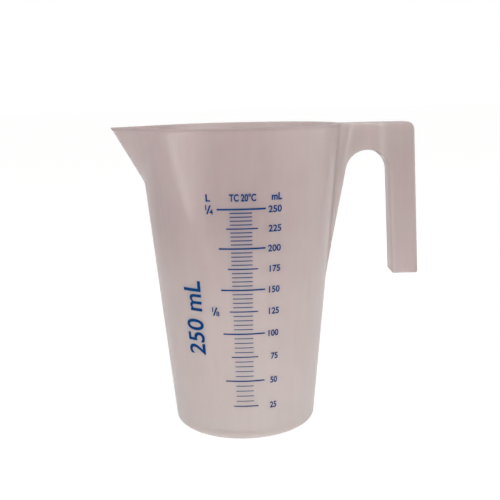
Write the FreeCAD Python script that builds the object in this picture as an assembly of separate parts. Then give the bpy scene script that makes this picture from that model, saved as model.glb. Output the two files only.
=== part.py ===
import FreeCAD, Part
import math
import os

# A 250 mL measuring beaker of moulded polypropylene: a tapered cup with a pouring spout, a hollow
# hook handle that is open below, and a scale printed on the front in blue ink.
# The cup's axis is +Z and z = 0 is the face it stands on. The spout points along -X, the handle
# along +X, and the scale faces -Y. All sizes are in millimetres and all angles in degrees.

# Cup
HEIGHT = 115.2
RIM_RADIUS = 38.2
BASE_RADIUS = 27.6
WALL = 1.25
FLOOR_THICKNESS = 2.0
FOOT_HEIGHT = 0.8
FOOT_WIDTH = 2.4
FOOT_CORNER = 1.2
FLOOR_COVE = 2.0
LIP_HEIGHT = 1.1
LIP_OVERHANG = 0.25
LIP_BEVEL = 0.3

# Spout
SPOUT_REACH = 10.2
SPOUT_DEPTH = 21.5
NOSE_RADIUS = 5.0
SPOUT_MARGIN = 4.0
SPOUT_STEPS = 9
ROOT_STEP = 0.02

# Handle: the grip is a square tube that leans outward, and the arm over the finger gap is an arch.
# The reach is from the rim to the back of the grip, and each drop is measured down from the rim.
ARM_REACH = 27.7
HANDLE_DEPTH = 9.8
HANDLE_WALL = 1.5
HANDLE_CORNER = 3.0
GRIP_THICKNESS = 10.0
GRIP_DROP = 58.2
GRIP_LEAN = 2.4
ARM_HEIGHT = 10.3
ARCH_RADIUS = 8.25
RIB_DROP = 53.3

# Printed scale
INK = 0.05
SCALE_FIRST = 25
SCALE_LAST = 250
SCALE_STEP = 5
LONG_HALF_ANGLE = 13.6
MEDIUM_HALF_ANGLE = 8.8
SHORT_HALF_ANGLE = 6.2
LONG_LINE = 0.5
MEDIUM_LINE = 0.42
SHORT_LINE = 0.38

# Printed lettering: cap heights, stroke width as a share of the cap height, and places by azimuth
# about the axis, counted from the front towards the handle
NUMBER_HEIGHT = 2.6
HEADING_HEIGHT = 2.8
FRACTION_HEIGHT = 1.9
MARK_HEIGHT = 7.4
STROKE_SHARE = 0.16
NUMBER_RIGHT_EDGE = 23.6
FRACTION_AZIMUTH = -18.0
FRACTION_OFFSET = 0.9
HEADING_RISE = 4.0
HEADING_AZIMUTH = 1.2
UNIT_AZIMUTH = 20.3
MARK_AZIMUTH = -33.5
MARK_MIDDLE_HEIGHT = 47.5

AXIS = FreeCAD.Vector(0, 0, 1)
ORIGIN = FreeCAD.Vector(0, 0, 0)
TAPER = (RIM_RADIUS - BASE_RADIUS) / HEIGHT
FLOOR_TOP = FOOT_HEIGHT + FLOOR_THICKNESS
LIP_BOTTOM = HEIGHT - LIP_HEIGHT
SPOUT_ROOT = HEIGHT - SPOUT_DEPTH


def point(x, y, z):
    return FreeCAD.Vector(x, y, z)


def outer_radius(z):
    return BASE_RADIUS + TAPER * z


def inner_radius(z):
    return outer_radius(z) - WALL


def closed_wire(points):
    return Part.makePolygon(points + points[:1])


def revolved(profile):
    """A full turn about the axis of a closed profile of (radius, height) pairs."""
    wire = closed_wire([point(r, 0, z) for r, z in profile])
    return Part.Face(wire).revolve(ORIGIN, AXIS, 360)


def cone(bottom, top, offset):
    """The solid cup from one height to another, grown outward by an offset."""
    radii = outer_radius(bottom) + offset, outer_radius(top) + offset
    return Part.makeCone(radii[0], radii[1], top - bottom, point(0, 0, bottom))


# ---- Floor, foot and wall -----------------------------------------------------------------------

def make_floor():
    """The flat floor, held up inside the foot ring."""
    return Part.makeCylinder(BASE_RADIUS - FOOT_WIDTH, FLOOR_THICKNESS, point(0, 0, FOOT_HEIGHT))


def make_foot():
    """The ring that the cup stands on, rounded at its outer corner."""
    inner = BASE_RADIUS - FOOT_WIDTH
    corner_top = point(outer_radius(FOOT_CORNER), 0, FOOT_CORNER)
    corner_bottom = point(BASE_RADIUS - FOOT_CORNER, 0, 0)
    reach = FOOT_CORNER * math.sqrt(0.5)
    corner_middle = point(BASE_RADIUS - FOOT_CORNER + reach, 0, FOOT_CORNER - reach)
    seat = [corner_top, point(outer_radius(FLOOR_TOP), 0, FLOOR_TOP), point(inner, 0, FLOOR_TOP),
            point(inner, 0, 0), corner_bottom]
    edges = Part.makePolygon(seat).Edges
    edges.append(Part.Arc(corner_bottom, corner_middle, corner_top).toShape())
    return Part.Face(Part.Wire(edges)).revolve(ORIGIN, AXIS, 360)


def make_wall():
    """The tapered wall from the floor to the lip, open where the spout takes its place."""
    cove_top = FLOOR_TOP + FLOOR_COVE
    shell = revolved([(outer_radius(FLOOR_TOP), FLOOR_TOP), (outer_radius(LIP_BOTTOM), LIP_BOTTOM),
                      (inner_radius(LIP_BOTTOM), LIP_BOTTOM), (inner_radius(cove_top), cove_top),
                      (inner_radius(FLOOR_TOP) - FLOOR_COVE, FLOOR_TOP)])
    spread = spout_sector()
    window = Part.makeCylinder(2 * RIM_RADIUS, SPOUT_DEPTH, point(0, 0, SPOUT_ROOT), AXIS, 2 * spread)
    window.rotate(ORIGIN, AXIS, 180 - spread)
    return shell.cut(window)


# ---- Spout and lip ------------------------------------------------------------------------------

def spout_plan(z):
    """Where the nose's centre lies at a height, and the azimuth where its flanks leave the cup."""
    climb = max(0.0, (z - SPOUT_ROOT) / SPOUT_DEPTH)
    centre = outer_radius(z) - NOSE_RADIUS + max(ROOT_STEP, SPOUT_REACH * climb)
    flank = math.degrees(math.acos((outer_radius(z) - NOSE_RADIUS) / centre))
    return centre, flank


def spout_sector():
    """Half the angle of the stretch of wall that is moulded as the spout."""
    return spout_plan(HEIGHT)[1] + SPOUT_MARGIN


def around(centre, radius, azimuth, z):
    """A point on a circle about a centre on the -X axis; azimuth 0 faces -X."""
    angle = math.radians(azimuth)
    return point(-centre - radius * math.cos(angle), radius * math.sin(angle), z)


def arc_edge(centre, radius, start, end, z):
    middle = (start + end) / 2
    ends = [around(centre, radius, azimuth, z) for azimuth in (start, middle, end)]
    return Part.Arc(*ends).toShape()


def line_edge(start, end):
    return Part.LineSegment(start, end).toShape()


def flank_and_nose(z, offset, side):
    """The flank, nose and other flank of the mouth, walked from one side to the other."""
    centre, flank = spout_plan(z)
    cup, nose = outer_radius(z) + offset, NOSE_RADIUS + offset
    start, end = side * flank, -side * flank
    return [line_edge(around(0, cup, start, z), around(centre, nose, start, z)),
            arc_edge(centre, nose, start, end, z),
            line_edge(around(centre, nose, end, z), around(0, cup, end, z))]


def spout_section(z):
    """The closed outline of the spout's wall at a height, with a short stretch of cup each side."""
    flank = spout_plan(z)[1]
    spread = spout_sector()
    outer, inner = outer_radius(z), inner_radius(z)
    edges = [arc_edge(0, outer, -spread, -flank, z)]
    edges += flank_and_nose(z, 0, -1)
    edges += [arc_edge(0, outer, flank, spread, z),
              line_edge(around(0, outer, spread, z), around(0, inner, spread, z)),
              arc_edge(0, inner, spread, flank, z)]
    edges += flank_and_nose(z, -WALL, 1)
    edges += [arc_edge(0, inner, -flank, -spread, z),
              line_edge(around(0, inner, -spread, z), around(0, outer, -spread, z))]
    return Part.Wire(edges)


def make_spout():
    """The spout, lofted in steps that are close together at its root, where it opens fastest."""
    climb = LIP_BOTTOM - SPOUT_ROOT
    heights = [SPOUT_ROOT + climb * (step / SPOUT_STEPS) ** 2 for step in range(SPOUT_STEPS + 1)]
    return Part.makeLoft([spout_section(z) for z in heights], True, True)


def mouth_outline(z, offset):
    """The whole mouth at a height: round the back of the cup, then out along the spout."""
    flank = spout_plan(z)[1]
    edges = [arc_edge(0, outer_radius(z) + offset, flank, 360 - flank, z)]
    return Part.Wire(edges + flank_and_nose(z, offset, -1))


def lip_solid():
    """The lip filled in, which also trims the handle where it meets the mouth."""
    outlines = [mouth_outline(LIP_BOTTOM, LIP_OVERHANG),
                mouth_outline(HEIGHT - LIP_BEVEL, LIP_OVERHANG),
                mouth_outline(HEIGHT, LIP_OVERHANG - LIP_BEVEL)]
    return Part.makeLoft(outlines, True, True)


def make_lip():
    """The bead round the mouth and the spout, standing a little proud and bevelled on top."""
    opening = Part.makeLoft([mouth_outline(LIP_BOTTOM, -WALL), mouth_outline(HEIGHT, -WALL)], True, True)
    return lip_solid().cut(opening)


# ---- Handle -------------------------------------------------------------------------------------
# Its pieces are cut from side-view outlines in the XZ plane. Two cheeks carry the whole outline, and
# the walls between them leave the arm and the grip hollow and open below.

GRIP_SLOPE = math.tan(math.radians(GRIP_LEAN))
GRIP_END = HEIGHT - GRIP_DROP
RIB_FOOT = HEIGHT - RIB_DROP
ARCH_CENTRE_Z = HEIGHT - ARM_HEIGHT - ARCH_RADIUS
CHEEK_GAP = HANDLE_DEPTH - 2 * HANDLE_WALL


def grip_x(z, inset):
    """A line that runs down the grip, an inset in from its outer face."""
    outer_face = RIM_RADIUS + ARM_REACH + GRIP_SLOPE * (HEIGHT - z)
    return outer_face - inset / math.cos(math.radians(GRIP_LEAN))


def arch_centre_x():
    return grip_x(ARCH_CENTRE_Z, GRIP_THICKNESS + ARCH_RADIUS)


def rib_lean():
    """How far the rib's edge leans from upright, so that it runs from its foot into the arch."""
    across = arch_centre_x() - outer_radius(RIB_FOOT)
    up = ARCH_CENTRE_Z - RIB_FOOT
    return math.degrees(math.atan2(across, up) - math.asin(ARCH_RADIUS / math.hypot(across, up)))


def rib_x(z):
    """The rib's sloping edge, which starts on the wall at the rib's foot."""
    return outer_radius(RIB_FOOT) + math.tan(math.radians(rib_lean())) * (z - RIB_FOOT)


def arch_point(angle):
    """A point on the arch; 0 faces +X and 90 is its top."""
    turn = math.radians(angle)
    return point(arch_centre_x() + ARCH_RADIUS * math.cos(turn), 0,
                 ARCH_CENTRE_Z + ARCH_RADIUS * math.sin(turn))


def buried_foot():
    """A point on the line of the rib's edge, low enough to lie inside the wall all across the rib."""
    z = RIB_FOOT - HANDLE_DEPTH
    return point(rib_x(z), 0, z)


def corner_arc(radius):
    """The rounded top corner, drawn about the centre that the outer corner has."""
    centre_z = HEIGHT - HANDLE_CORNER
    lean = math.radians(GRIP_LEAN)
    centre_x = grip_x(centre_z, HANDLE_CORNER)
    middle = (math.pi / 2 + lean) / 2
    turns = (math.pi / 2, middle, lean)
    ends = [point(centre_x + radius * math.cos(t), 0, centre_z + radius * math.sin(t)) for t in turns]
    return ends[0], Part.Arc(*ends).toShape(), ends[2]


def between_cheeks(edges):
    """A side-view outline made solid across the gap between the cheeks."""
    return extruded(edges, -CHEEK_GAP / 2, CHEEK_GAP / 2)


def extruded(edges, y_from, y_to):
    face = Part.Face(Part.Wire(edges))
    face.translate(point(0, y_from, 0))
    solid = face.extrude(point(0, y_to - y_from, 0))
    return solid.cut(cone(0, LIP_BOTTOM, 0)).cut(lip_solid())


def cheek_outline():
    """Rib edge, arch, finger face, grip end, outer face, rounded corner and top, in that order."""
    foot_point = buried_foot()
    arch_start = arch_point(180 - rib_lean())
    arch = Part.Arc(arch_start, arch_point(90), arch_point(GRIP_LEAN)).toShape()
    corner_start, corner, corner_end = corner_arc(HANDLE_CORNER)
    finger_end = point(grip_x(GRIP_END, GRIP_THICKNESS), 0, GRIP_END)
    outer_end = point(grip_x(GRIP_END, 0), 0, GRIP_END)
    axis_top = point(0, 0, HEIGHT)
    axis_foot = point(0, 0, foot_point.z)
    return [line_edge(foot_point, arch_start), arch,
            line_edge(arch_point(GRIP_LEAN), finger_end), line_edge(finger_end, outer_end),
            line_edge(outer_end, corner_end), corner, line_edge(corner_start, axis_top),
            line_edge(axis_top, axis_foot), line_edge(axis_foot, foot_point)]


def make_cheek(side):
    inner, outer = side * CHEEK_GAP / 2, side * HANDLE_DEPTH / 2
    return extruded(cheek_outline(), min(inner, outer), max(inner, outer))


def make_top_wall():
    """The flat top of the arm, level with the rim."""
    corner_start = corner_arc(HANDLE_CORNER)[0]
    return between_cheeks(closed_wire([point(0, 0, HEIGHT), corner_start,
                                       corner_start - point(0, 0, HANDLE_WALL),
                                       point(0, 0, HEIGHT - HANDLE_WALL)]).Edges)


def make_outer_wall():
    """The back of the grip, with the rounded corner that joins it to the top."""
    outer_start, outer_arc, outer_end = corner_arc(HANDLE_CORNER)
    inner_start, inner_arc, inner_end = corner_arc(HANDLE_CORNER - HANDLE_WALL)
    bottom_outer = point(grip_x(GRIP_END, 0), 0, GRIP_END)
    bottom_inner = point(grip_x(GRIP_END, HANDLE_WALL), 0, GRIP_END)
    return between_cheeks([outer_arc, line_edge(outer_end, bottom_outer),
                           line_edge(bottom_outer, bottom_inner), line_edge(bottom_inner, inner_end),
                           inner_arc, line_edge(inner_start, outer_start)])


def make_finger_wall():
    """The grip's inner wall, which carries on up through the arm to the top."""
    top = HEIGHT - HANDLE_WALL
    face, back = GRIP_THICKNESS, GRIP_THICKNESS - HANDLE_WALL
    return between_cheeks(closed_wire([point(grip_x(GRIP_END, face), 0, GRIP_END),
                                       point(grip_x(GRIP_END, back), 0, GRIP_END),
                                       point(grip_x(top, back), 0, top),
                                       point(grip_x(top, face), 0, top)]).Edges)


def make_rib():
    """The tapered rib that carries the arm's load down the cup's wall."""
    foot_point = buried_foot()
    top = HEIGHT - HANDLE_WALL
    return between_cheeks(closed_wire([point(0, 0, foot_point.z), foot_point,
                                       point(rib_x(top), 0, top), point(0, 0, top)]).Edges)


# ---- Printed scale ------------------------------------------------------------------------------

def level_of(millilitres):
    """The height that a volume fills the cup to, from the cup's own inside."""
    floor_radius = inner_radius(FLOOR_TOP)
    cove_loss = math.pi * FLOOR_COVE ** 2 * (floor_radius - FLOOR_COVE / 3)
    volume = 1000 * millilitres + cove_loss
    surface_radius = (3 * TAPER * volume / math.pi + floor_radius ** 3) ** (1 / 3)
    return FLOOR_TOP + (surface_radius - floor_radius) / TAPER


def scale_line(millilitres, half_angle, width):
    """One line of ink, lying on the wall at the level of its volume."""
    z = level_of(millilitres)
    low, high = z - width / 2, z + width / 2
    profile = [point(outer_radius(low), 0, low), point(outer_radius(high), 0, high),
               point(outer_radius(high) + INK, 0, high), point(outer_radius(low) + INK, 0, low)]
    line = Part.Face(closed_wire(profile)).revolve(ORIGIN, AXIS, 2 * half_angle)
    line.rotate(ORIGIN, AXIS, -90 - half_angle)
    return line


def line_kind(millilitres):
    if millilitres % 50 == 0:
        return "long"
    return "medium" if millilitres % 25 == 0 else "short"


def make_lines(kind, half_angle, width):
    volumes = range(SCALE_FIRST, SCALE_LAST + 1, SCALE_STEP)
    return Part.makeCompound([scale_line(v, half_angle, width) for v in volumes if line_kind(v) == kind])


# ---- Printed lettering --------------------------------------------------------------------------
# Each character is a few pen strokes in a cell one cap height tall. A stroke is a list of points,
# and a point in a nested pair is the middle of an arc to the point after it.

def arc_to(middle, end):
    return (middle, end)


LETTERS = {
    "0": (0.54, [[(0.0, 0.72), arc_to((0.27, 1.0), (0.54, 0.72)), (0.54, 0.28),
                  arc_to((0.27, 0.0), (0.0, 0.28)), (0.0, 0.72)]]),
    "1": (0.26, [[(0.0, 0.80), (0.26, 1.0), (0.26, 0.0)]]),
    "2": (0.52, [[(0.0, 0.78), arc_to((0.27, 1.0), (0.52, 0.74)), (0.0, 0.0), (0.54, 0.0)]]),
    "4": (0.58, [[(0.42, 0.0), (0.42, 1.0), (0.0, 0.28), (0.58, 0.28)]]),
    "5": (0.52, [[(0.48, 1.0), (0.06, 1.0), (0.03, 0.56), arc_to((0.52, 0.32), (0.0, 0.04))]]),
    "7": (0.50, [[(0.0, 1.0), (0.50, 1.0), (0.16, 0.0)]]),
    "8": (0.52, [[(0.26, 0.53), arc_to((0.05, 0.77), (0.26, 1.0)), arc_to((0.47, 0.77), (0.26, 0.53)),
                  arc_to((0.52, 0.27), (0.26, 0.0)), arc_to((0.0, 0.27), (0.26, 0.53))]]),
    "L": (0.46, [[(0.0, 1.0), (0.0, 0.0), (0.46, 0.0)]]),
    "T": (0.60, [[(0.0, 1.0), (0.60, 1.0)], [(0.30, 1.0), (0.30, 0.0)]]),
    "C": (0.56, [[(0.56, 0.86), arc_to((0.0, 0.5), (0.56, 0.14))]]),
    "m": (0.84, [[(0.0, 0.70), (0.0, 0.0)],
                 [(0.0, 0.48), arc_to((0.22, 0.70), (0.42, 0.48)), (0.42, 0.0)],
                 [(0.42, 0.48), arc_to((0.64, 0.70), (0.84, 0.48)), (0.84, 0.0)]]),
    "o": (0.24, [[(0.0, 0.86), arc_to((0.12, 0.98), (0.24, 0.86)), arc_to((0.12, 0.74), (0.0, 0.86))]]),
    "/": (0.40, [[(0.0, -0.15), (0.40, 1.15)]]),
    " ": (0.16, []),
}
LETTER_GAP = 0.20


def stroke_edges(stroke, height):
    """The edges of one pen stroke, drawn flat with x to the right and y upward."""
    edges = []
    pen = point(stroke[0][0], stroke[0][1], 0) * height
    for target in stroke[1:]:
        is_arc = isinstance(target[0], tuple)
        end = target[1] if is_arc else target
        end_point = point(end[0], end[1], 0) * height
        if is_arc:
            middle = point(target[0][0], target[0][1], 0) * height
            edges.append(Part.Arc(pen, middle, end_point).toShape())
        else:
            edges.append(line_edge(pen, end_point))
        pen = end_point
    return edges


def pen_mark(edge, width):
    """The area that a round pen covers as it follows one edge."""
    if not isinstance(edge.Curve, Part.Line):
        return Part.Wire([edge]).makeOffset2D(width / 2, 0, True, False)
    start, end = edge.Vertexes[0].Point, edge.Vertexes[-1].Point
    along = (end - start).normalize() * (width / 2)
    left = point(-along.y, along.x, 0)
    return Part.Face(Part.Wire([
        line_edge(start + left, end + left),
        Part.Arc(end + left, end + along, end - left).toShape(),
        line_edge(end - left, start - left),
        Part.Arc(start - left, start - along, start + left).toShape()]))


def letter_block(letter, height, depth):
    """A character as an upright block that is deep enough to reach through the curved wall."""
    areas = [pen_mark(edge, STROKE_SHARE * height)
             for stroke in LETTERS[letter][1] for edge in stroke_edges(stroke, height)]
    blocks = [area.extrude(point(0, 0, depth)) for area in areas]
    return blocks[0].multiFuse(blocks[1:]) if len(blocks) > 1 else blocks[0]


def text_width(text, height):
    return height * (sum(LETTERS[c][0] for c in text) + LETTER_GAP * (len(text) - 1))


def ink_skin(low, high):
    """The film of ink that lettering is cut from."""
    return cone(low, high, INK).cut(cone(low, high, 0))


def on_wall(block, azimuth, z):
    """Turn a block drawn flat at the origin to face out of the wall at an azimuth and a height."""
    block.rotate(ORIGIN, point(1, 0, 0), 90)
    block.translate(point(0, -outer_radius(z) + WALL, z))
    block.rotate(ORIGIN, AXIS, azimuth)
    return block


def printed(text, height, azimuth, z, upright=True):
    """A row of characters centred at an azimuth and a height; upright=False reads up the wall."""
    skin = ink_skin(z - 3 * height, z + 3 * height)
    across = -text_width(text, height) / 2
    letters = []
    for letter in text:
        width = LETTERS[letter][0] * height
        if LETTERS[letter][1]:
            block = letter_block(letter, height, 3 * WALL)
            block.translate(point(-width / 2, -height / 2, 0))
            middle = across + width / 2
            if upright:
                turn = math.degrees(middle / outer_radius(z))
                letters.append(on_wall(block, azimuth + turn, z).common(skin))
            else:
                block.rotate(ORIGIN, AXIS, 90)
                letters.append(on_wall(block, azimuth, z + middle))
        across += width + LETTER_GAP * height
    return letters


def make_numbers():
    """The volume in millilitres beside every line that ends in 25, 50, 75 or 00."""
    letters = []
    for volume in range(SCALE_FIRST, SCALE_LAST + 1, 25):
        z = level_of(volume)
        half_width = text_width(str(volume), NUMBER_HEIGHT) / 2
        azimuth = NUMBER_RIGHT_EDGE - math.degrees(half_width / outer_radius(z))
        letters += printed(str(volume), NUMBER_HEIGHT, azimuth, z)
    return Part.makeCompound(letters)


def make_fractions():
    """The volume as a fraction of a litre, beside the 250 and the 125 lines."""
    letters = []
    for volume, below in ((250, "4"), (125, "8")):
        z = level_of(volume)
        turn = math.degrees(FRACTION_OFFSET / outer_radius(z))
        rise = FRACTION_OFFSET * 0.6
        letters += printed("1", FRACTION_HEIGHT, FRACTION_AZIMUTH - turn, z + rise)
        letters += printed("/", FRACTION_HEIGHT, FRACTION_AZIMUTH, z)
        letters += printed(below, FRACTION_HEIGHT, FRACTION_AZIMUTH + turn, z - rise)
    return Part.makeCompound(letters)


def make_headings():
    """The unit over each column, and the note that the scale is true at 20 degrees."""
    z = level_of(SCALE_LAST) + HEADING_RISE
    letters = printed("L", NUMBER_HEIGHT, FRACTION_AZIMUTH, z)
    letters += printed("TC 20oC", HEADING_HEIGHT, HEADING_AZIMUTH, z)
    letters += printed("mL", NUMBER_HEIGHT, UNIT_AZIMUTH, z)
    return Part.makeCompound(letters)


def make_capacity_mark():
    """The beaker's size in large characters that read up the wall beside the scale."""
    skin = ink_skin(FLOOR_TOP, SPOUT_ROOT)
    blocks = printed("250 mL", MARK_HEIGHT, MARK_AZIMUTH, MARK_MIDDLE_HEIGHT, upright=False)
    return Part.makeCompound([block.common(skin) for block in blocks])


# ---- Output -------------------------------------------------------------------------------------

PIECES = {
    "cup_floor": make_floor(),
    "foot_ring": make_foot(),
    "cup_wall": make_wall(),
    "spout": make_spout(),
    "rim_lip": make_lip(),
    "handle_front_cheek": make_cheek(-1),
    "handle_back_cheek": make_cheek(1),
    "handle_top_wall": make_top_wall(),
    "grip_outer_wall": make_outer_wall(),
    "grip_finger_wall": make_finger_wall(),
    "handle_rib": make_rib(),
    "scale_long_lines": make_lines("long", LONG_HALF_ANGLE, LONG_LINE),
    "scale_medium_lines": make_lines("medium", MEDIUM_HALF_ANGLE, MEDIUM_LINE),
    "scale_short_lines": make_lines("short", SHORT_HALF_ANGLE, SHORT_LINE),
    "scale_numbers": make_numbers(),
    "scale_fractions": make_fractions(),
    "scale_headings": make_headings(),
    "capacity_mark": make_capacity_mark(),
}

os.makedirs("parts", exist_ok=True)
for name, shape in PIECES.items():
    shape.exportStep("parts/" + name + ".step")
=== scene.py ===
import math
import bmesh
import bpy
from mathutils import Matrix, Vector


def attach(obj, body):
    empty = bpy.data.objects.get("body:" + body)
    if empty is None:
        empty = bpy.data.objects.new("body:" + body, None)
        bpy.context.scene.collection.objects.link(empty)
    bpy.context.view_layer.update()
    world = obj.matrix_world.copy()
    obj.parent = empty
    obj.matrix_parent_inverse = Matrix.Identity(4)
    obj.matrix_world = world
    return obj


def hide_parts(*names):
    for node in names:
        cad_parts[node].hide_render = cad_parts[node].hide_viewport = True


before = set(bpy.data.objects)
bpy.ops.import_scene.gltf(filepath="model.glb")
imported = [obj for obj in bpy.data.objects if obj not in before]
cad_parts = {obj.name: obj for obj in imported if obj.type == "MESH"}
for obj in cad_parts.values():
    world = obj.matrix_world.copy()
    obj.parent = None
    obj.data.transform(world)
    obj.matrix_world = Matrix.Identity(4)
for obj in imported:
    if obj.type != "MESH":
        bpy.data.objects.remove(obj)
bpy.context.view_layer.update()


# ---- Cup ----------------------------------------------------------------------------------------
# The tapered cup with its foot ring, spout and rim, moulded in one shot from milky polypropylene.
# Half its profile is drawn as a line and its corners are rounded. It is spun about the cup's axis,
# which is +Z, and the spout, which points along -X, is then drawn out of the wall.

MM = 0.001
HEIGHT = 115.2 * MM
RIM_RADIUS = 38.2 * MM
BASE_RADIUS = 27.6 * MM
WALL = 1.25 * MM
FLOOR_UNDERSIDE = 0.8 * MM
FLOOR_TOP = 2.8 * MM
FOOT_WIDTH = 2.4 * MM
FOOT_CORNER = 1.2 * MM
FLOOR_COVE = 2.0 * MM
LIP_HEIGHT = 1.1 * MM
LIP_OVERHANG = 0.25 * MM
LIP_ROUNDING = 0.32 * MM
SPOUT_REACH = 10.15 * MM
SPOUT_DEPTH = 21.5 * MM
SPOUT_EASE = 1.6 * MM
SPOUT_MARGIN = math.radians(4)
NOSE_RADIUS = 5.0 * MM
TURN_STEPS = 320

TAPER = (RIM_RADIUS - BASE_RADIUS) / HEIGHT
SPOUT_ROOT = HEIGHT - SPOUT_DEPTH


def outer_radius(z):
    return BASE_RADIUS + TAPER * z


def deselect_all():
    if bpy.context.object and bpy.context.object.mode != "OBJECT":
        bpy.ops.object.mode_set(mode="OBJECT")
    bpy.ops.object.select_all(action="DESELECT")


def start_line(name, first):
    """A new mesh in edit mode that is one selected vertex."""
    deselect_all()
    bpy.ops.mesh.primitive_plane_add(size=MM)
    piece = bpy.context.object
    piece.name = piece.data.name = name
    bpy.ops.object.mode_set(mode="EDIT")
    bpy.ops.mesh.merge(type="CENTER")
    bpy.ops.transform.translate(value=first)
    return piece


def draw_to(here, there):
    """Extrude the selected vertex along a straight edge."""
    step = [b - a for a, b in zip(here, there)]
    bpy.ops.mesh.extrude_region_move(TRANSFORM_OT_translate={"value": step})
    return there


def pick_vertices(piece, wanted):
    """In edit mode, select the vertices that a test wants, and the edges and faces between them."""
    mesh = bmesh.from_edit_mesh(piece.data)
    bpy.context.tool_settings.mesh_select_mode = (True, False, False)
    for part in (*mesh.faces, *mesh.edges, *mesh.verts):
        part.select = False
    for vertex in mesh.verts:
        if wanted(vertex.co):
            vertex.select = True
    mesh.select_flush(True)
    bmesh.update_edit_mesh(piece.data)


def near(x, z):
    return lambda co: math.hypot(co.x - x, co.z - z) < 0.02 * MM


def round_corner(piece, corner, reach, segments):
    """Round one corner of a drawn line, from a distance before it to the same distance after."""
    pick_vertices(piece, near(*corner))
    bpy.ops.mesh.bevel(affect="VERTICES", offset=reach, segments=segments, clamp_overlap=False)


def close_mesh(piece):
    """Merge doubles and turn every face outward, then go back to object mode."""
    bpy.ops.mesh.select_all(action="SELECT")
    bpy.ops.mesh.remove_doubles(threshold=0.0005 * MM)
    bpy.ops.mesh.normals_make_consistent(inside=False)
    bpy.ops.object.mode_set(mode="OBJECT")


def smooth(piece, degrees):
    deselect_all()
    piece.select_set(True)
    bpy.context.view_layer.objects.active = piece
    bpy.ops.object.shade_smooth_by_angle(angle=math.radians(degrees))


LIP_BOTTOM = HEIGHT - LIP_HEIGHT
SPOUT_START = SPOUT_ROOT - 4 * MM
FOOT_INNER = BASE_RADIUS - FOOT_WIDTH
profile = [
    (0, FLOOR_UNDERSIDE), (FOOT_INNER, FLOOR_UNDERSIDE), (FOOT_INNER, 0), (BASE_RADIUS, 0),
    (outer_radius(SPOUT_START), SPOUT_START), (outer_radius(LIP_BOTTOM), LIP_BOTTOM),
    (outer_radius(LIP_BOTTOM) + LIP_OVERHANG, LIP_BOTTOM), (RIM_RADIUS + LIP_OVERHANG, HEIGHT),
    (RIM_RADIUS - WALL, HEIGHT), (outer_radius(SPOUT_START) - WALL, SPOUT_START),
    (outer_radius(FLOOR_TOP) - WALL, FLOOR_TOP), (0, FLOOR_TOP)]
cup = start_line("moulded_cup", (0, 0, FLOOR_UNDERSIDE))
here = (0, 0, FLOOR_UNDERSIDE)
for radius, z in profile[1:]:
    here = draw_to(here, (radius, 0, z))
rounded_corners = {1: (0.4 * MM, 3), 2: (0.3 * MM, 3), 3: (FOOT_CORNER, 8), 5: (0.2 * MM, 3),
                   6: (0.12 * MM, 2), 7: (LIP_ROUNDING, 6), 8: (LIP_ROUNDING, 6), 10: (FLOOR_COVE, 8)}
for index, (reach, segments) in rounded_corners.items():
    round_corner(cup, profile[index], reach, segments)


def divide_wall(low, high, offset, cuts):
    """Put level rings between two heights on one face of the wall."""
    pick_vertices(cup, lambda co: low < co.z < high
                  and abs(co.x - outer_radius(co.z) - offset) < 0.01 * MM)
    bpy.ops.mesh.subdivide(number_cuts=cuts)


PLAIN_RINGS = 8
SPOUT_RINGS = 24
divide_wall(FOOT_CORNER * 0.9, SPOUT_START + 1 * MM, 0, PLAIN_RINGS)
divide_wall(SPOUT_START - 1 * MM, LIP_BOTTOM - 0.1 * MM, 0, SPOUT_RINGS)
divide_wall(FLOOR_TOP + 1 * MM, SPOUT_START + 1 * MM, -WALL, PLAIN_RINGS)
divide_wall(SPOUT_START - 1 * MM, HEIGHT - 0.1 * MM, -WALL, SPOUT_RINGS)
bpy.ops.mesh.select_all(action="SELECT")
bpy.ops.mesh.spin(steps=TURN_STEPS, angle=math.tau, center=(0, 0, 0), axis=(0, 0, 1))
close_mesh(cup)


def spout_plan(z):
    """Where the nose's centre lies at a height, and the azimuth where its flanks leave the cup."""
    def eased(rise):
        return (math.sqrt(rise * rise + SPOUT_EASE * SPOUT_EASE) + rise) / 2
    low, high = eased(SPOUT_START - SPOUT_ROOT), eased(SPOUT_DEPTH)
    climb = max(0.0, eased(z - SPOUT_ROOT) - low) / (high - low)
    centre = outer_radius(z) - NOSE_RADIUS + SPOUT_REACH * climb
    return centre, math.acos(min(1.0, (outer_radius(z) - NOSE_RADIUS) / centre))


spout_spread = spout_plan(HEIGHT)[1] + SPOUT_MARGIN


def drawn_out(co):
    """Where a point of the plain cup's wall goes when the spout is drawn."""
    azimuth = math.atan2(co.y, -co.x)
    centre, flank = spout_plan(co.z)
    share = abs(azimuth) / spout_spread
    if share >= 1 or flank == 0:
        return co
    offset = math.hypot(co.x, co.y) - outer_radius(co.z)
    cup_circle, nose_circle = outer_radius(co.z) + offset, NOSE_RADIUS + offset
    straight = math.sqrt(centre ** 2 - (outer_radius(co.z) - NOSE_RADIUS) ** 2)
    nose = nose_circle * flank
    whole = nose + straight + cup_circle * (spout_spread - flank)
    along = share * whole
    if along < nose:
        turn = along / nose_circle
        out, aside = centre + nose_circle * math.cos(turn), nose_circle * math.sin(turn)
    elif along < nose + straight:
        ahead = along - nose
        out = centre + nose_circle * math.cos(flank) - ahead * math.sin(flank)
        aside = nose_circle * math.sin(flank) + ahead * math.cos(flank)
    else:
        turn = flank + (along - nose - straight) / cup_circle
        out, aside = cup_circle * math.cos(turn), cup_circle * math.sin(turn)
    return Vector((-out, math.copysign(aside, azimuth), co.z))


for vertex in cup.data.vertices:
    if vertex.co.z > SPOUT_START and vertex.co.x < 0:
        vertex.co = drawn_out(vertex.co)
smooth(cup, 40)


# ---- Handle -------------------------------------------------------------------------------------
# The hook handle, moulded with the cup: an arm level with the rim, a square grip and a rib down the
# wall. Its side view is drawn and extruded, hollowed from below, and cut to sit in the cup's wall.

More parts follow.
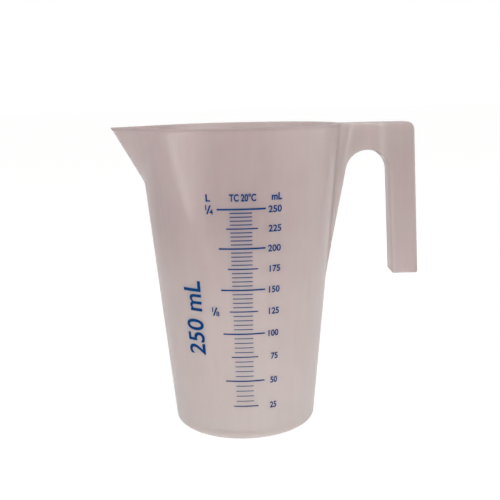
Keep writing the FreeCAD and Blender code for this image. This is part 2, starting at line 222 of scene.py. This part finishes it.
ARM_REACH = 27.7 * MM
HANDLE_DEPTH = 9.8 * MM
HANDLE_WALL = 1.5 * MM
HANDLE_CORNER = 3.0 * MM
GRIP_THICKNESS = 10.0 * MM
GRIP_END = HEIGHT - 58.2 * MM
GRIP_LEAN = math.radians(2.4)
ARCH_RADIUS = 8.25 * MM
ARCH_Z = HEIGHT - 10.3 * MM - ARCH_RADIUS
RIB_FOOT = HEIGHT - 53.3 * MM
HANDLE_TOP = HEIGHT - 0.05 * MM
HANDLE_EDGE = 0.7 * MM
POCKET_CORNER = 1.5 * MM
FILLET = 1.0 * MM
BURIED = 0.4 * MM
INSIDE_CUP = 20 * MM


def grip_x(z, inset):
    """A line that runs down the grip, an inset in from its outer face."""
    return RIM_RADIUS + ARM_REACH + math.tan(GRIP_LEAN) * (HEIGHT - z) - inset / math.cos(GRIP_LEAN)


ARCH_X = grip_x(ARCH_Z, GRIP_THICKNESS + ARCH_RADIUS)
across, up = ARCH_X - outer_radius(RIB_FOOT), ARCH_Z - RIB_FOOT
RIB_LEAN = math.atan2(across, up) - math.asin(ARCH_RADIUS / math.hypot(across, up))


def rib_x(z):
    """The rib's sloping edge, which starts on the wall at the rib's foot."""
    return outer_radius(RIB_FOOT) + math.tan(RIB_LEAN) * (z - RIB_FOOT)


def arc_on(here, centre, angle, steps):
    """Turn the selected vertex about a centre in the side view; a positive angle is clockwise."""
    bpy.ops.mesh.spin(steps=steps, angle=-angle, center=(centre[0], 0, centre[1]), axis=(0, 1, 0))
    turned = Matrix.Rotation(angle, 3, "Y") @ Vector((here[0] - centre[0], 0, here[2] - centre[1]))
    return (centre[0] + turned.x, 0, centre[1] + turned.z)


def side_slab(piece, low, high):
    """Fill a drawn side view and extrude it from one side of the handle to the other."""
    bpy.ops.mesh.select_all(action="SELECT")
    bpy.ops.mesh.remove_doubles(threshold=0.001 * MM)
    bpy.ops.mesh.edge_face_add()
    bpy.ops.transform.translate(value=(0, low, 0))
    bpy.ops.mesh.extrude_region_move(TRANSFORM_OT_translate={"value": (0, high - low, 0)})
    close_mesh(piece)


def use_tool(piece, tool, operation):
    """Join or cut a piece with another solid, which is then gone."""
    boolean = piece.modifiers.new("boolean", "BOOLEAN")
    boolean.operation, boolean.solver, boolean.object = operation, "EXACT", tool
    deselect_all()
    bpy.context.view_layer.objects.active = piece
    piece.select_set(True)
    bpy.ops.object.modifier_apply(modifier="boolean")
    bpy.data.objects.remove(tool)


foot_z = RIB_FOOT - HANDLE_DEPTH
here = (rib_x(foot_z), 0, foot_z)
handle = start_line("handle", here)
here = draw_to(here, (ARCH_X - ARCH_RADIUS * math.cos(RIB_LEAN), 0,
                      ARCH_Z + ARCH_RADIUS * math.sin(RIB_LEAN)))
here = arc_on(here, (ARCH_X, ARCH_Z), math.pi - RIB_LEAN - GRIP_LEAN, 26)
here = draw_to(here, (grip_x(GRIP_END, GRIP_THICKNESS), 0, GRIP_END))
here = draw_to(here, (grip_x(GRIP_END, 0), 0, GRIP_END))
corner_z = HANDLE_TOP - HANDLE_CORNER
corner = (grip_x(corner_z, HANDLE_CORNER), corner_z)
here = draw_to(here, (corner[0] + HANDLE_CORNER * math.cos(GRIP_LEAN), 0,
                      corner_z + HANDLE_CORNER * math.sin(GRIP_LEAN)))
here = arc_on(here, corner, GRIP_LEAN - math.pi / 2, 8)
here = draw_to(here, (INSIDE_CUP, 0, HANDLE_TOP))
here = draw_to(here, (INSIDE_CUP, 0, foot_z))
here = draw_to(here, (rib_x(foot_z), 0, foot_z))
side_slab(handle, -HANDLE_DEPTH / 2, HANDLE_DEPTH / 2)

bevel = handle.modifiers.new("edges", "BEVEL")
bevel.width, bevel.segments, bevel.limit_method = HANDLE_EDGE, 4, "ANGLE"
bevel.angle_limit = math.radians(40)
bpy.ops.object.modifier_apply(modifier="edges")


def pocket(corners, rounded=None):
    """A slab between the cheeks with the given side view; the named corner of it is rounded."""
    piece = start_line("pocket", (corners[0][0], 0, corners[0][1]))
    here = (corners[0][0], 0, corners[0][1])
    for x, z in (*corners[1:], corners[0]):
        here = draw_to(here, (x, 0, z))
    if rounded is not None:
        bpy.ops.mesh.select_all(action="SELECT")
        bpy.ops.mesh.remove_doubles(threshold=0.001 * MM)
        round_corner(piece, corners[rounded], POCKET_CORNER, 6)
    side_slab(piece, HANDLE_WALL - HANDLE_DEPTH / 2, HANDLE_DEPTH / 2 - HANDLE_WALL)
    return piece


pocket_top = HEIGHT - HANDLE_WALL
below_grip = GRIP_END - 5 * MM
grip_back = GRIP_THICKNESS - HANDLE_WALL
in_grip = pocket([(grip_x(below_grip, grip_back), below_grip),
                  (grip_x(pocket_top, grip_back), pocket_top),
                  (grip_x(pocket_top, HANDLE_WALL), pocket_top),
                  (grip_x(below_grip, HANDLE_WALL), below_grip)], rounded=2)
use_tool(handle, in_grip, "DIFFERENCE")

arch_open = ARCH_Z + ARCH_RADIUS * 0.75
in_arm = pocket([(rib_x(arch_open) + 0.02 * MM, arch_open), (rib_x(pocket_top), pocket_top),
                 (grip_x(pocket_top, GRIP_THICKNESS), pocket_top),
                 (grip_x(arch_open, GRIP_THICKNESS) - 0.02 * MM, arch_open)])
use_tool(handle, in_arm, "DIFFERENCE")

rib_wall = HANDLE_WALL / math.cos(RIB_LEAN)
crotch = RIB_FOOT + rib_wall / (math.tan(RIB_LEAN) - TAPER) + 1 * MM
in_rib = pocket([(outer_radius(crotch) - 0.1 * MM, crotch), (rib_x(crotch) - rib_wall, crotch),
                 (rib_x(pocket_top) - rib_wall, pocket_top),
                 (outer_radius(pocket_top) - 0.1 * MM, pocket_top)])
use_tool(handle, in_rib, "DIFFERENCE")

deselect_all()
bpy.ops.mesh.primitive_cone_add(vertices=256, radius1=outer_radius(0) - BURIED,
                                radius2=outer_radius(2 * HEIGHT) - BURIED, depth=2 * HEIGHT,
                                location=(0, 0, HEIGHT))
plug = bpy.context.object
bpy.ops.object.transform_apply()
use_tool(handle, plug, "DIFFERENCE")


def wall_fillet(side):
    """The hollow fillet between the cup's wall and one side of the handle, from lip to rib foot."""
    radius, top, bottom = outer_radius(LIP_BOTTOM), LIP_BOTTOM + 0.1 * MM, RIB_FOOT - 6 * MM
    face = HANDLE_DEPTH / 2 - 0.01 * MM

    def wall_x(y):
        return math.sqrt(radius ** 2 - y ** 2)

    corner = wall_x(face)
    arc = [(corner + FILLET * (1 - math.sin(t)), face + FILLET * (1 - math.cos(t)))
           for t in (math.radians(15 * step) for step in range(7))]
    arc[-1] = (wall_x(face + FILLET) - 0.01 * MM, face + FILLET)
    plan = [(corner - BURIED, face - 0.3 * MM), (corner + FILLET, face - 0.3 * MM), *arc,
            (arc[-1][0] - BURIED, face + FILLET)]
    corners = [(x, side * y, top) for x, y in plan]
    piece = start_line("fillet", corners[0])
    here = corners[0]
    for there in (*corners[1:], corners[0]):
        here = draw_to(here, there)
    bpy.ops.mesh.select_all(action="SELECT")
    bpy.ops.mesh.remove_doubles(threshold=0.001 * MM)
    bpy.ops.mesh.edge_face_add()
    down = top - bottom
    bpy.ops.mesh.extrude_region_move(TRANSFORM_OT_translate={"value": (-TAPER * down, 0, -down)})
    bpy.ops.mesh.select_all(action="SELECT")
    bpy.ops.mesh.bisect(plane_co=(rib_x(RIB_FOOT) - 0.02 * MM, 0, RIB_FOOT),
                        plane_no=(math.cos(RIB_LEAN), 0, -math.sin(RIB_LEAN)),
                        use_fill=True, clear_outer=True)
    close_mesh(piece)
    return piece


for side in (-1, 1):
    use_tool(handle, wall_fillet(side), "UNION")
use_tool(cup, handle, "UNION")
deselect_all()
bpy.context.view_layer.objects.active = cup
bpy.ops.object.mode_set(mode="EDIT")
close_mesh(cup)
smooth(cup, 35)


class Value:
    """A shader socket that can be used in sums: each operator adds a Math node."""

    def __init__(self, tree, socket):
        self.tree, self.socket = tree, socket

    def maths(self, operation, *values):
        return add_node(self.tree, "ShaderNodeMath", {"operation": operation},
                        dict(enumerate(values)))[0]

    def __add__(self, other):
        return self.maths("ADD", self, other)

    def __radd__(self, other):
        return self.maths("ADD", other, self)

    def __sub__(self, other):
        return self.maths("SUBTRACT", self, other)

    def __rsub__(self, other):
        return self.maths("SUBTRACT", other, self)

    def __mul__(self, other):
        return self.maths("MULTIPLY", self, other)

    def __rmul__(self, other):
        return self.maths("MULTIPLY", other, self)

    def clamped(self):
        return self.maths("MAXIMUM", self.maths("MINIMUM", self, 1.0), 0.0)

    def size(self):
        return self.maths("ABSOLUTE", self)

    def ramp(self, start, end):
        """0 up to the start, 1 from the end on, which may lie before or after the start."""
        return ((self - start) * (1 / (end - start))).clamped()

    def band(self, reach):
        """1 where the value is 0, fading to 0 where it is as large as the reach."""
        return (1 - self.size() * (1 / reach)).clamped()


def add_node(tree, kind, settings, sockets):
    """A node with its settings, then its inputs, which are values or links; gives its outputs."""
    node = tree.nodes.new(kind)
    for name, setting in settings.items():
        setattr(node, name, setting)
    for name, value in sockets.items():
        if isinstance(value, Value):
            tree.links.new(value.socket, node.inputs[name])
        else:
            node.inputs[name].default_value = value
    return [Value(tree, output) for output in node.outputs if output.enabled]


def new_material(name):
    material = bpy.data.materials.new(name)
    material.use_nodes = True
    material.node_tree.nodes.clear()
    return material, material.node_tree


def give(piece, material):
    piece.data.materials.clear()
    piece.data.materials.append(material)


# The plastic's deep and pale tones; its base colour is mixed between them by cloud, flow marks and
# painted light and shade.
PLASTIC_DEEP = (0.555, 0.46, 0.462, 1)
PLASTIC_PALE = (0.86, 0.765, 0.744, 1)


def cup_paleness(out, back, rise):
    """Painted light and shade on the cup's wall: deeper up high, paler to the foot, a pale band at
    left.
    """
    sides = (out.ramp(8 * MM, 30 * MM) + back.ramp(0, 50 * MM)).clamped()
    # A pale band of painted light down the left of the front, fading out over the lower half.
    left = out.ramp(-9 * MM, -15 * MM) - out.ramp(-20 * MM, -29 * MM)
    # Painted light: a little paler just under the rim, and paler over the lower half down to the
    # foot.
    near_rim = rise.ramp(88 * MM, 102 * MM)
    lower_half = rise.ramp(80 * MM, 58 * MM)
    to_foot = rise.ramp(60 * MM, 0)
    front_tone = (near_rim * 0.12 + lower_half * 0.40 + to_foot * 0.50
                  + left * (0.21 - lower_half * 0.22) - 0.12)
    # The sides and back: a plain tone with painted shade above and painted light below.
    side_tone = 0.70 - rise * (0.425 / HEIGHT)
    return (1 - sides) * front_tone + sides * side_tone


def handle_paleness(out, rise):
    """Painted light and shade on the handle: pale bands where inner walls stand behind a cheek, a
    dark grip edge.
    """
    off_rib = out - rise * math.tan(RIB_LEAN) - rib_x(0)
    off_grip = out + rise * math.tan(GRIP_LEAN) - grip_x(0, GRIP_THICKNESS)
    arm = rise.ramp(96 * MM, 100 * MM)
    # Painted light: pale bands along the rib and the grip's inner wall in the arm, and along the
    # finger face below.
    rib_band = (off_rib + 0.8 * MM).band(1.5 * MM) * arm
    grip_band = (off_grip + 2.3 * MM).band(2 * MM) * arm
    finger_edge = off_grip.band(1.8 * MM) * (1 - arm)
    # Darker over the grip, with painted shade along its outer edge.
    grip = out.ramp(48 * MM, 58 * MM)
    outer_edge = off_grip.ramp(7.3 * MM, 10.3 * MM)
    return (0.35 - grip * 0.12 - outer_edge * 0.22
            + rib_band * 0.27 + grip_band * 0.36 + finger_edge * 0.35)


def milky_plastic():
    """Translucent polypropylene: cloudy in the wall, faint upright flow marks, a soft matt gloss;
    painted light and shade.
    """
    material, tree = new_material("milky_polypropylene")
    place = add_node(tree, "ShaderNodeTexCoord", {}, {})[3]
    cloud = add_node(tree, "ShaderNodeTexNoise", {}, {
        "Vector": place, "Scale": 45.0, "Detail": 3.0, "Roughness": 0.55})[0]
    upright = add_node(tree, "ShaderNodeMapping", {}, {
        "Vector": place, "Scale": (1.0, 1.0, 0.06)})[0]
    flow = add_node(tree, "ShaderNodeTexNoise", {}, {
        "Vector": upright, "Scale": 420.0, "Detail": 2.0})[0]
    grain = add_node(tree, "ShaderNodeTexNoise", {}, {
        "Vector": place, "Scale": 2600.0, "Detail": 2.0})[0]
    out, back, rise = add_node(tree, "ShaderNodeSeparateXYZ", {}, {"Vector": place})
    on_handle = out.ramp(34 * MM, 42 * MM)
    # Painted light where the handle meets the wall, to lift the shade that gathers in that corner.
    painted_light_at_junction = (out - rise * TAPER - BASE_RADIUS - 1 * MM).band(2 * MM)
    # Painted shade along the lip of the front rim; the coat is thinner there as well.
    shaded_front_rim = (rise.ramp(HEIGHT - 1.3 * MM, HEIGHT - 0.7 * MM) * back.ramp(0, -5 * MM)
                 * (1 - on_handle))
    # The base colour mixes the random cloud and flow marks with the painted light and shade above.
    paleness = ((1 - on_handle) * cup_paleness(out, back, rise)
                + on_handle * handle_paleness(out, rise) + painted_light_at_junction * 0.22 - shaded_front_rim * 0.3)
    tint = (cloud * 0.30 + flow * 0.20 + paleness).clamped()
    colour = add_node(tree, "ShaderNodeMix", {"data_type": "RGBA"}, {
        0: tint, 6: PLASTIC_DEEP, 7: PLASTIC_PALE})[0]
    roughness = (flow * 0.08 + cloud * 0.06 + 0.36).clamped()
    relief = flow * 0.6 + grain * 0.4
    bump = add_node(tree, "ShaderNodeBump", {}, {
        "Strength": 0.12, "Distance": 0.00006, "Height": relief})[0]
    shader = add_node(tree, "ShaderNodeBsdfPrincipled", {"subsurface_method": "RANDOM_WALK"}, {
        "Base Color": colour, "Roughness": roughness, "IOR": 1.38, "Normal": bump,
        "Subsurface Weight": 1.0, "Subsurface Radius": (1.0, 0.82, 0.80), "Subsurface Scale": 0.004,
        "Transmission Weight": 0.46, "Specular IOR Level": 0.3,
        "Coat Weight": 0.22 - shaded_front_rim * 0.15, "Coat Roughness": 0.16, "Coat IOR": 1.6})[0]
    add_node(tree, "ShaderNodeOutputMaterial", {}, {"Surface": shader})
    return material


give(cup, milky_plastic())
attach(cup, "root")
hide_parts("cup_floor", "foot_ring", "cup_wall", "spout", "rim_lip", "handle_front_cheek",
            "handle_back_cheek", "handle_top_wall", "grip_outer_wall", "grip_finger_wall",
            "handle_rib")


# ---- Scale lines --------------------------------------------------------------------------------
# The volume scale on the front, screen-printed in blue ink: a line for every 5 mL. Each line is one
# thin strip, modelled flat and then laid on the wall at the height that its volume fills the cup to.

INK_PROUD = 0.045 * MM
INK_SUNK = 0.01 * MM
FIRST_VOLUME = 25
LAST_VOLUME = 250

# For each kind: half its length and its middle, in degrees round the wall, and how thick the ink is
# at the first volume and at the last, because the print grows bolder up the wall.
LINE_KINDS = {"scale_long_lines": (13.6, 0.3, 0.48 * MM, 0.60 * MM),
              "scale_medium_lines": (9.0, 0.5, 0.38 * MM, 0.48 * MM),
              "scale_short_lines": (6.2, 0.0, 0.25 * MM, 0.37 * MM)}


def kind_of(millilitres):
    if millilitres % 50 == 0:
        return "scale_long_lines"
    return "scale_short_lines" if millilitres % 25 else "scale_medium_lines"


def level_of(millilitres):
    """The height that a volume fills the cup to, from the cup's own inside."""
    floor_radius = outer_radius(FLOOR_TOP) - WALL
    cove_loss = math.pi * FLOOR_COVE ** 2 * (floor_radius - FLOOR_COVE / 3)
    volume = millilitres * 1e-6 + cove_loss
    surface_radius = (3 * TAPER * volume / math.pi + floor_radius ** 3) ** (1 / 3)
    return FLOOR_TOP + (surface_radius - floor_radius) / TAPER


def lay_on_wall(piece, azimuth, z):
    """Bend a flat print onto the cone: x runs round the wall, y up it, and depth is its thickness."""
    middle = math.radians(azimuth)
    round_here = outer_radius(z)
    for vertex in piece.data.vertices:
        height = z + vertex.co.y
        turn = middle + vertex.co.x / round_here
        radius = outer_radius(height) + vertex.co.z
        vertex.co = Vector((radius * math.sin(turn), -radius * math.cos(turn), height))


def copy_of(piece, name):
    deselect_all()
    piece.select_set(True)
    bpy.context.view_layer.objects.active = piece
    bpy.ops.object.duplicate()
    twin = bpy.context.object
    twin.name = twin.data.name = name
    return twin


def join_all(pieces, name):
    deselect_all()
    for piece in pieces:
        piece.select_set(True)
    bpy.context.view_layer.objects.active = pieces[0]
    if len(pieces) > 1:
        bpy.ops.object.join()
    pieces[0].name = pieces[0].data.name = name
    return pieces[0]


def blank_line():
    """A flat strip of ink one metre long and wide, with enough steps to bend round the wall."""
    deselect_all()
    bpy.ops.mesh.primitive_grid_add(x_subdivisions=24, y_subdivisions=1, size=1)
    strip = bpy.context.object
    bpy.ops.transform.translate(value=(0, 0, -INK_SUNK))
    bpy.ops.object.transform_apply()
    bpy.ops.object.mode_set(mode="EDIT")
    bpy.ops.mesh.select_all(action="SELECT")
    bpy.ops.mesh.extrude_region_move(TRANSFORM_OT_translate={"value": (0, 0, INK_SUNK + INK_PROUD)})
    close_mesh(strip)
    return strip


INK_BLUE = (0.0, 0.040, 0.165, 1)
INK_LIGHT = (0.0, 0.060, 0.235, 1)


def printed_ink():
    """Matt blue screen ink, a little uneven in how thickly it lies."""
    material, tree = new_material("printed_blue_ink")
    place = add_node(tree, "ShaderNodeTexCoord", {}, {})[3]
    film = add_node(tree, "ShaderNodeTexNoise", {}, {
        "Vector": place, "Scale": 900.0, "Detail": 3.0, "Roughness": 0.6})[0]
    colour = add_node(tree, "ShaderNodeMix", {"data_type": "RGBA"}, {
        0: film, 6: INK_BLUE, 7: INK_LIGHT})[0]
    bump = add_node(tree, "ShaderNodeBump", {}, {
        "Strength": 0.2, "Distance": 0.00002, "Height": film})[0]
    shader = add_node(tree, "ShaderNodeBsdfPrincipled", {}, {
        "Base Color": colour, "Roughness": (film * 0.2 + 0.4).clamped(), "Normal": bump,
        "Specular IOR Level": 0.05})[0]
    add_node(tree, "ShaderNodeOutputMaterial", {}, {"Surface": shader})
    return material


ink = printed_ink()


def finish_print(piece, node):
    smooth(piece, 40)
    give(piece, ink)
    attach(piece, "root")
    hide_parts(node)


blank = blank_line()
for node, (half_angle, azimuth, thin, thick) in LINE_KINDS.items():
    lines = []
    for volume in range(FIRST_VOLUME, LAST_VOLUME + 1, 5):
        if kind_of(volume) != node:
            continue
        z = level_of(volume)
        length = 2 * math.radians(half_angle) * outer_radius(z)
        width = thin + (thick - thin) * (volume - FIRST_VOLUME) / (LAST_VOLUME - FIRST_VOLUME)
        line = copy_of(blank, "line")
        bpy.ops.transform.resize(value=(length, width, 1))
        bpy.ops.object.transform_apply()
        lay_on_wall(line, azimuth, z)
        lines.append(line)
    finish_print(join_all(lines, "printed_" + node), node)
bpy.data.objects.remove(blank)


# ---- Lettering ----------------------------------------------------------------------------------
# The numbers, the units over the two columns, the fractions of a litre and the large capacity mark,
# in the same blue ink. Each is set as text, cut into columns, and laid on the wall as the lines are.

NUMBER_HEIGHT = 2.42 * MM
HEADING_HEIGHT = 2.58 * MM
UNIT_HEIGHT = 2.6 * MM
FRACTION_HEIGHT = 1.8 * MM
SLASH_HEIGHT = 3.1 * MM
MARK_HEIGHT = 7.2 * MM
NUMBER_RIGHT_EDGE = 23.4
FRACTION_AZIMUTH = -18.0
FRACTION_RISE = 0.75 * MM
FRACTION_SPREAD = 0.95 * MM
HEADING_RISE = 4.0 * MM
HEADING_AZIMUTH = 1.2
UNIT_AZIMUTH = 20.3
MARK_AZIMUTH = -33.5
MARK_Z = 47.5 * MM
BOLD = 0.022
HEAVY = 0.035
CAPITAL = 0.682
COLUMN = 0.8 * MM


def set_text(words, height, weight=BOLD, narrow=1.0):
    """Words as a flat film of ink centred on the origin, as tall as asked, reading along x."""
    deselect_all()
    bpy.ops.object.text_add()
    text = bpy.context.object
    text.data.body, text.data.offset = words, weight
    text.data.resolution_u = 6
    text.data.extrude = 0.5
    bpy.ops.object.convert(target="MESH")
    film = bpy.context.object
    scale = height / (CAPITAL + 2 * weight)
    thickness = INK_SUNK + INK_PROUD
    bpy.ops.transform.resize(value=(scale * narrow, scale, thickness))
    bpy.ops.object.transform_apply()
    xs = [vertex.co.x for vertex in film.data.vertices]
    centre = Vector((-(min(xs) + max(xs)) / 2, -CAPITAL * scale / 2, thickness / 2 - INK_SUNK))
    film.data.transform(Matrix.Translation(centre))
    bpy.ops.object.mode_set(mode="EDIT")
    bpy.ops.mesh.select_all(action="SELECT")
    bpy.ops.mesh.remove_doubles(threshold=0.0005 * MM)
    bpy.ops.object.mode_set(mode="OBJECT")
    return film


def width_of(film):
    xs = [vertex.co.x for vertex in film.data.vertices]
    return max(xs) - min(xs)


def cut_columns(film):
    """Cut a flat print across its width so that it can bend round the wall."""
    steps = math.ceil(width_of(film) / COLUMN)
    half = width_of(film) / 2
    bpy.ops.object.mode_set(mode="EDIT")
    for step in range(1, steps):
        bpy.ops.mesh.select_all(action="SELECT")
        bpy.ops.mesh.bisect(plane_co=(2 * half * step / steps - half, 0, 0), plane_no=(1, 0, 0))
    close_mesh(film)


def print_words(words, height, azimuth, z, **style):
    film = set_text(words, height, **style)
    cut_columns(film)
    lay_on_wall(film, azimuth, z)
    return film


numbers = []
top_radius = outer_radius(level_of(LAST_VOLUME))
for volume in range(FIRST_VOLUME, LAST_VOLUME + 1, 25):
    z = level_of(volume)
    film = set_text(str(volume), NUMBER_HEIGHT, narrow=outer_radius(z) / top_radius)
    middle = NUMBER_RIGHT_EDGE - math.degrees(width_of(film) / 2 / outer_radius(z))
    cut_columns(film)
    lay_on_wall(film, middle, z - 0.25 * MM)
    numbers.append(film)
finish_print(join_all(numbers, "printed_numbers"), "scale_numbers")

fractions = []
for volume, below_line, weight in ((250, "4", HEAVY), (125, "8", BOLD)):
    z = level_of(volume) - 0.1 * MM
    turn = math.degrees(FRACTION_SPREAD / outer_radius(z))
    fractions += [
        print_words("1", FRACTION_HEIGHT, FRACTION_AZIMUTH - turn, z + FRACTION_RISE, weight=weight),
        print_words("/", SLASH_HEIGHT, FRACTION_AZIMUTH, z, weight=0.01, narrow=1.5),
        print_words(below_line, FRACTION_HEIGHT, FRACTION_AZIMUTH + turn, z - FRACTION_RISE,
                    weight=weight)]
finish_print(join_all(fractions, "printed_fractions"), "scale_fractions")

z = level_of(LAST_VOLUME) + HEADING_RISE
headings = [
    print_words("L", UNIT_HEIGHT, FRACTION_AZIMUTH, z, weight=HEAVY),
    print_words("TC 20°C", HEADING_HEIGHT, HEADING_AZIMUTH, z, weight=HEAVY, narrow=0.73),
    print_words("mL", UNIT_HEIGHT, UNIT_AZIMUTH, z + 0.1 * MM, weight=HEAVY, narrow=0.89)]
finish_print(join_all(headings, "printed_headings"), "scale_headings")

mark = set_text("250 mL", MARK_HEIGHT, weight=0.012, narrow=0.92)
mark.name = mark.data.name = "printed_capacity_mark"
bpy.ops.transform.rotate(value=-math.pi / 2, orient_axis="Z", center_override=(0, 0, 0))
bpy.ops.object.transform_apply()
cut_columns(mark)
lay_on_wall(mark, MARK_AZIMUTH, MARK_Z)
finish_print(mark, "capacity_mark")


# ---- Studio -------------------------------------------------------------------------------------
# A white floor in a white room. Soft boxes light the beaker from the left, the right and above, a
# card in front fills the shade, and a strip lamp on the floor gives the slanting gloss by the spout.

LAMP_WHITE = (1, 0.98, 0.97)
SOFT_BOXES = {"window_left": ((-0.7, -0.5, 0.5), (0, 0, 0.05), (0.7, 0.9), 1.7),
              "overhead": ((0.0, -0.3, 0.9), (0, 0, 0.1), (0.6, 0.5), 1.2),
              "card_in_front": ((0.0, -0.15, 0.004), (0, -0.02, 0.06), (0.40, 0.08), 0.16),
              "fill_right": ((0.7, -0.5, 0.25), (0, 0, 0.05), (0.9, 0.9), 3.0)}
STRIP_PLACE = (-0.52, -0.127, 0.004)
STRIP_SIZE = (0.56, 0.05)
STRIP_POWER = 0.85
STRIP_TURN = math.atan2(-0.075, 0.56)
FLOOR_RADIUS = 12
FLOOR_DROP = 0.05 * MM


def white_to_camera(tree):
    """1 for what the camera sees, straight or by way of the beaker, and 0 for what lights it."""
    path = add_node(tree, "ShaderNodeLightPath", {}, {})
    rays = {value.socket.name: value for value in path}
    return (rays["Is Camera Ray"] + rays["Is Glossy Ray"] + rays["Is Transmission Ray"]).clamped()


world = bpy.data.worlds.new("white_room")
bpy.context.scene.world = world
world.use_nodes = True
tree = world.node_tree
tree.nodes.clear()
room_light = add_node(tree, "ShaderNodeBackground", {}, {
    "Color": (1.0, 0.985, 0.975, 1), "Strength": 0.45})[0]
room_white = add_node(tree, "ShaderNodeBackground", {}, {"Color": (1, 1, 1, 1), "Strength": 1.0})[0]
room = add_node(tree, "ShaderNodeMixShader", {}, {
    0: white_to_camera(tree), 1: room_light, 2: room_white})[0]
add_node(tree, "ShaderNodeOutputWorld", {}, {"Surface": room})

deselect_all()
bpy.ops.mesh.primitive_circle_add(vertices=64, radius=FLOOR_RADIUS, fill_type="NGON",
                                  location=(0, 0, -FLOOR_DROP))
floor = bpy.context.object
floor.name = "floor"
material, tree = new_material("white_floor")
painted = add_node(tree, "ShaderNodeBsdfDiffuse", {}, {"Color": (0.82, 0.815, 0.81, 1)})[0]
lit = add_node(tree, "ShaderNodeEmission", {}, {"Color": (1, 1, 1, 1), "Strength": 1.2})[0]
shown = add_node(tree, "ShaderNodeMixShader", {}, {
    0: white_to_camera(tree) * 0.75, 1: painted, 2: lit})[0]
add_node(tree, "ShaderNodeOutputMaterial", {}, {"Surface": shown})
give(floor, material)


def soft_box(name, place, size, power):
    """A soft rectangular lamp that still has to be turned to what it lights."""
    deselect_all()
    bpy.ops.object.light_add(type="AREA", location=place)
    light = bpy.context.object
    light.name = name
    light.data.shape, light.data.size, light.data.size_y = "RECTANGLE", size[0], size[1]
    light.data.energy, light.data.color = power, LAMP_WHITE
    return light


for name, (place, target, size, power) in SOFT_BOXES.items():
    light = soft_box(name, place, size, power)
    light.rotation_euler = (Vector(target) - Vector(place)).to_track_quat("-Z", "Y").to_euler()
strip = soft_box("strip_on_floor", STRIP_PLACE, STRIP_SIZE, STRIP_POWER)
strip.rotation_euler = (math.pi, 0, STRIP_TURN)

CAMERA_PLACE = (0, -0.28564, 0.123755)
PITCH, YAW, ROLL = 0.19743, 0.01146, 0.0225
deselect_all()
bpy.ops.object.camera_add()
camera = bpy.context.object
camera.data.lens, camera.data.sensor_width = 53.44, 36
camera.data.clip_start, camera.data.clip_end = 0.01, 100
camera.matrix_world = (Matrix.Translation(CAMERA_PLACE) @ Matrix.Rotation(-YAW, 4, "Z")
                       @ Matrix.Rotation(math.pi / 2 - PITCH, 4, "X")
                       @ Matrix.Rotation(-ROLL, 4, "Z"))
bpy.context.scene.camera = camera
bpy.context.scene.view_settings.view_transform = "Standard"
